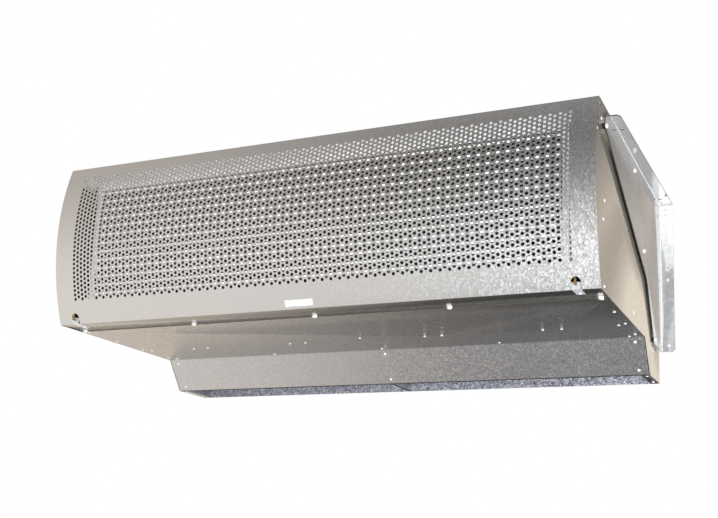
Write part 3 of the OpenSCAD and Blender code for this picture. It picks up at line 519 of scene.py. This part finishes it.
def rim(b, path, out):
    """The cut edge of the sheet along a path of (x, s), facing out in (x, s)."""
    x, s = np.array(path, float).T
    p0, n = on_arc(x, s)
    p1, _ = on_arc(x, s, SHEET)
    up = np.stack([0 * n[:, 0], n[:, 2], -n[:, 1]], -1)
    o = np.array([out[0], 0, 0]) + out[1] * up
    b.grid(np.stack([p0, p1], 0), np.stack([o, o], 0), flip=True)


def blank_plate():
    """The bare plate, a thin label that follows the curve: its face and its four edges."""
    b = Builder()
    xs, ss = net(np.linspace(-PLATE_HALF, PLATE_HALF, 9), np.linspace(PLATE_LOW, PLATE_HIGH, 9))
    p, n = on_arc(xs, ss, -PLATE_T)
    b.grid(p, n)
    below, above, left, right = (0, slice(None)), (-1, slice(None)), (slice(None), 0), (slice(None), -1)
    for line, out, flip in (
        (below, (0, 0, -1), True), (above, (0, 0, 1), False),
        (left, (-1, 0, 0), False), (right, (1, 0, 0), True),
    ):
        p0, _ = on_arc(xs[line], ss[line], -PLATE_T)
        p1, _ = on_arc(xs[line], ss[line], -PLATE_GAP)
        b.grid(np.stack([p0, p1], 0), out, flip)
    return b.object("blank_plate")


cover = finish_piece(perforated_cover(), (COVER, PUNCHED), "cover", "galvanised_sheet", "front_cover")
# light goes on through the sheet to the pleats, which the holes alone would leave too dark
cover.visible_shadow = False
finish_piece(blank_plate(), PLATE, "cover", "plate_aluminium", "name_plate")


# ---------------------------------------------------------------- rivets, screws and bolts

def revolve(bm, profile, where, matrix, segments=20):
    """Turns a profile of (radius, height) about the local z axis into the mesh."""
    rings = []
    for r, h in profile:
        if r == 0:
            rings.append([bm.verts.new(matrix @ Vector((0, 0, h)) + where)])
        else:
            rings.append([bm.verts.new(matrix @ Vector((r * math.cos(k * math.tau / segments),
                                                        r * math.sin(k * math.tau / segments), h)) + where)
                          for k in range(segments)])
    for a, c in zip(rings, rings[1:]):
        for k in range(segments):
            j = (k + 1) % segments
            if len(a) == 1:
                bm.faces.new((a[0], c[k], c[j]))
            elif len(c) == 1:
                bm.faces.new((a[k], a[j], c[0]))
            else:
                bm.faces.new((a[k], a[j], c[j], c[k]))


# (radius, height) of a blind rivet's domed head, with the broken mandrel sunk in its middle
RIVET = [(4.0, 0), (3.95, 0.45), (3.4, 1.05), (2.5, 1.45), (1.7, 1.58), (1.35, 1.5), (1.25, 0.9),
         (0.9, 0.75), (0, 0.85)]
# the same of the flange under a hexagon screw's head
FLANGED = [(7.4, 0), (7.3, 0.6), (6.6, 1.1), (5.6, 1.2)]
# and of a washer under a bolt's head
WASHER = [(6.4, 0), (6.35, 0.8), (6.0, 1.0)]


def facing(direction):
    """The turn that lays the local z axis along a direction."""
    return Vector(direction).to_track_quat("Z", "Y").to_matrix()


def heads(name, spots, profile, mat, node):
    """One object of small turned heads; a spot is a place in casing millimetres and the way it faces."""
    bm = bmesh.new()
    for spot, way in spots:
        revolve(bm, [(r / 1000, h / 1000) for r, h in profile], at(*spot), facing(way))
    me = bpy.data.meshes.new(name)
    bm.to_mesh(me)
    bm.free()
    smooth(me, 50)
    return finish_piece(bpy.data.objects.new(name, me), mat, "casing", "zinc_plated_steel", node)


DOWN = (0, 0, -1)
ENDS = (-1, 1)

# the rows down both ends start and stop a rivet's width off the rail and the nozzle's flange
row_start = RAIL_DEPTH + RIVET_D
row_end = SLOPE_Y - SLOPE_FLANGE - RIVET_D / 2
row = [row_start + i * (row_end - row_start) / 3 for i in range(4)]
spots = [((s * (HALF - EDGE), y, 0), DOWN) for s in ENDS for y in row]
spots += [((s * (HALF - 2 * EDGE), FOOT_Y - RIVET_D, 0), DOWN) for s in ENDS]
spots += [((0, row[2], 0), DOWN)]
spots += [((x + s * FOOT_X + d * FOOT_L / 2, FOOT_Y, 0), DOWN)
          for x in (-FAN_X, FAN_X) for s in ENDS for d in ENDS]
spots += [((i * (HALF - 2 * EDGE) / 2, SLOPE_Y - SLOPE_FLANGE / 2, 0), DOWN) for i in range(-2, 3)]
heads("bottom_rivet_heads", spots, RIVET, PLATED, "bottom_rivets")

slope = Vector((0, LIP_Y - SLOPE_Y, OUTLET_Z))
lean = slope.normalized()
across = (0, lean.z, -lean.y)
spots = [((x, SLOPE_Y + lean.y * s, lean.z * s), across)
         for x in (-HALF + FLANGE, 0, HALF - FLANGE) for s in (FLANGE / 2, slope.length - FLANGE / 2)]
spots += [((s * (HALF - MOUTH_RIVET_X), y, OUTLET_Z), DOWN)
          for s in ENDS for y in (LIP_Y + MOUTH_RIVET_Y, DEPTH - FLANGE)]
heads("nozzle_rivet_heads", spots, RIVET, PLATED, "nozzle_rivets")

# the rivets of the end panels stand at shares of the casing's depth and height
side_spots = [(DEPTH * 0.058, HEIGHT * 0.027), (DEPTH * 0.065, HEIGHT * 0.479),
              (DEPTH * 0.048, HEIGHT * 0.372), (DEPTH * 0.032, HEIGHT - 45), (DEPTH * 0.507, HEIGHT * 0.067)]
spots = [((s * HALF, y, z), (s, 0, 0)) for s in ENDS for y, z in side_spots]
heads("side_rivet_heads", spots, RIVET, PLATED, "side_rivets")

spots = [((s * NOTCH_X, TAB_RIVET_Y, TAB_FOOT_Z), DOWN) for s in ENDS]
heads("latch_rivet_heads", spots, RIVET, PLATED, "latch_tab_rivets")


def hexagons(name, spots, across_flats, height, mat, node, flange, shanks=()):
    """Hexagon heads with a chamfered crown and a shallow dish, on a flange or washer; a shank is a plain
    rod given by its start, its way, its radius and its length."""
    foot = flange[-1][1]
    bm = bmesh.new()
    for spot, way in spots:
        m, w = facing(way), at(*spot)
        revolve(bm, [(r / 1000, h / 1000) for r, h in flange] + [(0, foot / 1000)], w, m, 28)
        r = across_flats / math.sqrt(3)
        corners = [(r * math.cos(k * math.pi / 3), r * math.sin(k * math.pi / 3)) for k in range(6)]
        rings = []
        crown = ((1.0, foot), (1.0, height - 0.7), (0.86, height), (0.5, height), (0.42, height - 0.5))
        for grow, h in crown:
            rings.append([bm.verts.new(m @ Vector((x * grow / 1000, y * grow / 1000, h / 1000)) + w)
                          for x, y in corners])
        for a, c in zip(rings, rings[1:]):
            for k in range(6):
                j = (k + 1) % 6
                bm.faces.new((a[k], a[j], c[j], c[k]))
        bm.faces.new(rings[-1])
        bm.faces.new(rings[0][::-1])
    for start, way, r, length in shanks:
        rod = [(0, 0), (r, 0), (r, length - 0.5), (r - 0.5, length), (0, length)]
        revolve(bm, [(a / 1000, h / 1000) for a, h in rod], at(*start), facing(way), 24)
    me = bpy.data.meshes.new(name)
    bm.to_mesh(me)
    bm.free()
    smooth(me, 28)
    return finish_piece(bpy.data.objects.new(name, me), mat, "casing", "zinc_plated_steel", node)


spots = [((i * (HALF - EDGE) / 2, RAIL_DEPTH - SCREW_BACK, SHEET), DOWN) for i in range(-2, 3)]
hexagons("rail_screw_heads", spots, SCREW_FLATS, SCREW_H, PLATED, "rail_screws", FLANGED)

# each bolt goes through the end panel and the bracket, with a washer and a head at both ends
bolts = [(DEPTH * 0.045, BRACKET_TOP - 44), (DEPTH / 2 - 1, BRACKET_TOP - 29),
         (DEPTH - 261, BRACKET_TOP * 0.514), (DEPTH - 115, BRACKET_TOP * 0.032)]
through = BOLT_INSIDE + BRACKET_IN - INNER + BOLT_OUTSIDE
spots, shanks = [], []
for s in ENDS:
    for y, z in bolts:
        spots.append(((s * (BRACKET_IN + BRACKET_T), y, z), (s, 0, 0)))
        spots.append(((s * INNER, y, z), (-s, 0, 0)))
        shanks.append(((s * (INNER - BOLT_INSIDE), y, z), (s, 0, 0), BOLT_R, through))
hexagons("bracket_bolt_heads", spots, BOLT_FLATS, BOLT_H, PLATED, "bracket_bolts", WASHER, shanks)


# ---------------------------------------------------------------- folded sheet, dressed from the solids

def paint(piece, choose):
    """Gives each face of a piece the material that choose(face) counts to."""
    for face in piece.data.polygons:
        face.material_index = choose(face)


def bracket_face(face, s):
    """Which material a bracket's face has: 0 bright zinc, 1 a cut edge painted near black as the shade of
    the gap beside it, 2 the inside of a bend painted white as its highlight.
    """
    x, y, z = abs(face.center.x) * 1000, -face.center.y * 1000, face.center.z * 1000 + MID_HOLE
    flat_x, flat_y, flat_z = [abs(v) < 0.5 for v in face.normal]
    plate_edge = flat_x and x < BRACKET_IN + BRACKET_T and z < BRACKET_TOP - 5 and y > 4
    top_edge = flat_z and x > BRACKET_IN + 4 and z > BRACKET_TOP - 2
    rear_edge = flat_y and x > BRACKET_IN + 4 and 0.2 < y < 2.3
    in_top_bend = face.normal.z < -0.3 and z > BRACKET_TOP - 8
    in_rear_bend = face.normal.y < -0.3 and y < 8
    if s * face.normal.x > 0.3 and x < BRACKET_IN + 6 and (in_top_bend or in_rear_bend):
        return 2
    return int(plate_edge or top_edge or rear_edge)


for node, mat, inner, outer in (
    ("top_panel", PANEL, 1.0, 2.0),
    ("bottom_rail", RAIL, 1.0, 2.0),
    ("nozzle_end_plates", NOZZLE, 1.0, 2.0),
    ("fan_deck", INSIDE, 1.0, 2.0),
    ("filter_frame", STRIP, 0.6, 1.0),
    ("filter_rails", STRIP, 0.6, 1.0),
    ("fan_feet", INSIDE, 1.0, 2.0),
):
    dress(node, mat, "casing", "galvanised_sheet", inner, outer)
for node, foreside, outer in (("bottom_panel", SHEARED, 1.0), ("rear_panel", BACK, 2.0)):
    panel = dress(node, (PANEL, foreside), "casing", "galvanised_sheet", 1.0, outer)
    paint(panel, lambda face: int(face.normal.y < -0.9))
# in metres in the part's frame, just above the mouth
NEAR_MOUTH = (OUTLET_Z + 17 - MID_HOLE) / 1000
for node, outer in (("nozzle_front", 2.2), ("nozzle_divider", 1.0)):
    piece = dress(node, (NOZZLE, PAINTED_SHADE_EDGE), "casing", "galvanised_sheet", 1.0, outer)
    # faces that look down just above the mouth are painted near black, as the shade of the gap inside the
    # mouth
    paint(piece, lambda face: int(face.normal.z < -0.9 and face.center.z < NEAR_MOUTH))
for side, s in (("left", -1), ("right", 1)):
    panel = dress(side + "_side_panel", (SIDE, PAINTED_SHADE_INSIDE), "casing", "galvanised_sheet", 1.0, 1.1)
    # the inner faces get the sheet that is painted dark as the shade inside the casing
    paint(panel, lambda face: int(s * face.normal.x < -0.9))
    bracket = dress(side + "_bracket", (BRACKET, PAINTED_SHADE_EDGE, PAINTED_BEND_HIGHLIGHT), "casing", "galvanised_sheet", 1.0, 3.5, 0)
    # cut edges are painted near black as the shade of the gaps beside them, and the insides of the bends
    # white as their highlight
    paint(bracket, lambda face: bracket_face(face, s))
dress("latch_tabs", TAB, "casing", "zinc_plated_steel", 1.2, 2.4, 0.3)
dress("latch_button_left", BRASS, "latch_left", "brass", 0, 0, 0.5)
dress("latch_button_right", BRASS, "latch_right", "brass", 0, 0, 0.5)
dress("terminal_box", LIGHT, "casing", "light_plastic", 0.8, 2.0, 0.4)
dress("terminal_box_lid", LIGHT, "casing", "light_plastic", 0.5, 0.8, 0.4)

# CAD nodes whose shape is right as it is take their real material
for mat, nodes in (
    (FLEECE, ("filter_fleece",)),
    (INSIDE, ("left_fan_housing", "right_fan_housing", "left_inlet_rings", "right_inlet_rings",
              "left_impeller", "right_impeller", "left_motor_spiders", "right_motor_spiders")),
    (CAST, ("left_motor_can", "right_motor_can")),
    (STEEL, ("left_bearings", "right_bearings", "left_fan_shaft", "right_fan_shaft", "cover_hinge_pins")),
    (WINDING, ("left_stator", "right_stator")),
    (RUBBER, ("bracket_spacers",)),
    (LIGHT, ("terminal_block",)),
    (POLYAMIDE, ("cable_gland",)),
):
    for node in nodes:
        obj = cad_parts[node]
        if obj.data.materials:
            for k in range(len(obj.data.materials)):
                obj.data.materials[k] = mat
        else:
            obj.data.materials.append(mat)


# ---------------------------------------------------------------- camera, light and floor

# the photograph's viewing angle, place and lens, in radians, metres and millimetres
yaw, pitch, roll = 0.4394947, 0.2022508, 0.0408909
CAMERA_AT = (1.2480, -3.0432, -0.8203)
LENS, SENSOR, SHIFT_UP = 54.02, 36.0, 0.1150
forward = Vector((-math.sin(yaw) * math.cos(pitch), math.cos(yaw) * math.cos(pitch), math.sin(pitch)))
level = Vector((math.cos(yaw), math.sin(yaw), 0))
upright = level.cross(forward)
right = math.cos(roll) * level + math.sin(roll) * upright
up = -math.sin(roll) * level + math.cos(roll) * upright
cam = bpy.data.objects.new("camera", bpy.data.cameras.new("camera"))
turned = Matrix((right, up, -forward)).transposed().to_4x4()
cam.matrix_world = Matrix.Translation(CAMERA_AT) @ turned
cam.data.lens, cam.data.sensor_width, cam.data.shift_y = LENS, SENSOR, SHIFT_UP
cam.data.clip_start, cam.data.clip_end = 0.05, 200.0
bpy.context.scene.collection.objects.link(cam)
bpy.context.scene.camera = cam
bpy.context.scene.view_settings.view_transform = "Standard"

# The studio is white to the camera. The metal mirrors a soft room, bright low in front and darker above
# and behind, and even overhead. Scattered light gets one plain tone from it.
world = bpy.data.worlds.new("studio")
bpy.context.scene.world = world
world.use_nodes = True
t = world.node_tree
t.nodes.clear()
way = add(t, "SeparateXYZ", {0: add(t, "TexCoord").outputs["Generated"]}).outputs
height = math_node(t, "MULTIPLY_ADD", way[2], 0.5, 0.5)


def tone(v, warm=0.0):
    """A grey of a linear level, a little warm or cool."""
    return [v * (1 + warm), v, v * (1 - warm), 1.0]


def smooth_step(value, low, high):
    """From 0 at low to 1 at high."""
    return add(t, "MapRange", {0: value, 1: low, 2: high}, interpolation_type="SMOOTHSTEP").outputs[0]


def blend(fac, a, c):
    """Colour a at factor 0 and colour c at 1."""
    return add(t, "Mix", {0: fac, 6: a, 7: c}, data_type="RGBA").outputs[2]


def by_height(*stops):
    """A wall of the room: stops of (height from -1 to 1, level, warmth)."""
    return ramp(t, height, [((z + 1) / 2, tone(v, w)) for z, v, w in stops])


front_left = by_height((-1, 0.86, 0.08), (-0.2, 0.86, 0.06), (0.1, 0.82, 0.06), (0.39, 0.67, 0.08),
                       (0.68, 0.51, 0.09))
front_mid = by_height((-1, 0.2, 0), (-0.7, 0.35, 0), (-0.4, 0.7, 0), (-0.05, 0.6, 0), (0.13, 0.55, 0),
                      (0.31, 0.35, 0), (0.5, 0.17, 0), (0.71, 0.14, 0), (1, 0.2, 0))
front_bright = by_height((-1, 0.2, -0.04), (-0.7, 0.35, -0.03), (-0.4, 1.85, -0.02), (-0.05, 1.9, -0.02),
                         (0.05, 1.15, -0.02), (0.13, 0.5, -0.01), (0.31, 0.24, 0), (0.5, 0.16, 0),
                         (0.71, 0.13, 0), (1, 0.2, 0))
front_right = by_height((-1, 0.5, -0.02), (-0.4, 0.8, -0.02), (0.35, 0.85, -0.01), (0.6, 0.65, 0),
                        (1, 0.4, 0))
back_left = by_height((-1, 0.68, 0.1), (-0.2, 0.78, 0.14), (0.1, 0.66, 0.13), (1, 0.4, 0.05))
back_mid = by_height((-1, 0.3, 0), (-0.5, 0.11, 0.02), (-0.15, 0.05, 0.05), (0.15, 0.15, 0.06),
                     (0.4, 0.6, 0.08), (1, 0.2, 0))
back_right = by_height((-1, 0.5, 0), (-0.25, 0.22, 0.04), (-0.05, 0.7, 0.06), (0.17, 0.66, 0.12),
                       (0.2, 0.46, 0.12), (0.24, 0.3, 0.13), (0.27, 0.31, 0.13), (0.3, 0.41, 0.12),
                       (0.37, 0.16, 0.1), (0.44, 0.12, 0.08), (1, 0.3, 0.05))
front = blend(smooth_step(way[0], -0.55, -0.28), front_left, front_mid)
front = blend(smooth_step(way[0], -0.23, -0.13), front, front_bright)
front = blend(smooth_step(way[0], 0.02, 0.16), front, front_right)
rear = blend(smooth_step(way[0], -0.66, -0.24), back_left, back_mid)
rear = blend(smooth_step(way[0], -0.02, 0.14), rear, back_right)
room = blend(smooth_step(way[1], -0.1, 0.4), front, rear)
room = blend(smooth_step(way[2], 0.74, 0.92), room, tone(0.32, 0.02))
path = add(t, "LightPath").outputs
room = blend(path["Is Diffuse Ray"], room, tone(0.36))
back = add(t, "Background", {"Color": blend(path["Is Camera Ray"], room, (1.0, 1.0, 1.0, 1.0))})
t.links.new(back.outputs[0], add(t, "OutputWorld").inputs[0])


def area(name, where, aim, size, power, color=(1, 1, 1)):
    """A soft box that lights the scattering surfaces; the metal mirrors the room instead."""
    lamp = bpy.data.objects.new(name, bpy.data.lights.new(name, "AREA"))
    lamp.visible_glossy = False
    lamp.data.size, lamp.data.energy, lamp.data.color = size, power, color
    lamp.location = where
    lamp.rotation_euler = (Vector(aim) - Vector(where)).to_track_quat("-Z", "Y").to_euler()
    bpy.context.scene.collection.objects.link(lamp)


area("key", (3.6, -2.6, -2.4), (0, -0.5, 0), 1.0, 225)
area("low", (1.0, -2.7, -2.0), (0.2, -0.7, 0), 1.0, 75)
area("end", (1.5, -0.15, -0.5), (0.76, -0.1, 0.1), 0.4, 2.5, (1.0, 0.97, 0.9))

# a plain pale floor far below the hanging unit, seen only from above
FLOOR, FLOOR_Z = 60.0, -5.0
corners = [(-FLOOR, -FLOOR), (FLOOR, -FLOOR), (FLOOR, FLOOR), (-FLOOR, FLOOR)]
floor = bpy.data.objects.new("floor", bpy.data.meshes.new("floor"))
floor.data.from_pydata([(x, y, FLOOR_Z) for x, y in corners], [], [(0, 1, 2, 3)])
pale, t, bsdf, _ = material("pale_floor")
bsdf.inputs["Base Color"].default_value = rgb("#F4F4F2")
bsdf.inputs["Roughness"].default_value = 0.9
bsdf.inputs["Emission Color"].default_value = rgb("#F4F4F2")
glow = math_node(t, "MULTIPLY", add(t, "LightPath").outputs["Is Camera Ray"], 0.45)
t.links.new(glow, bsdf.inputs["Emission Strength"])
floor.data.materials.append(pale)
bpy.context.scene.collection.objects.link(floor)
floor.visible_glossy = False
floor.visible_diffuse = False
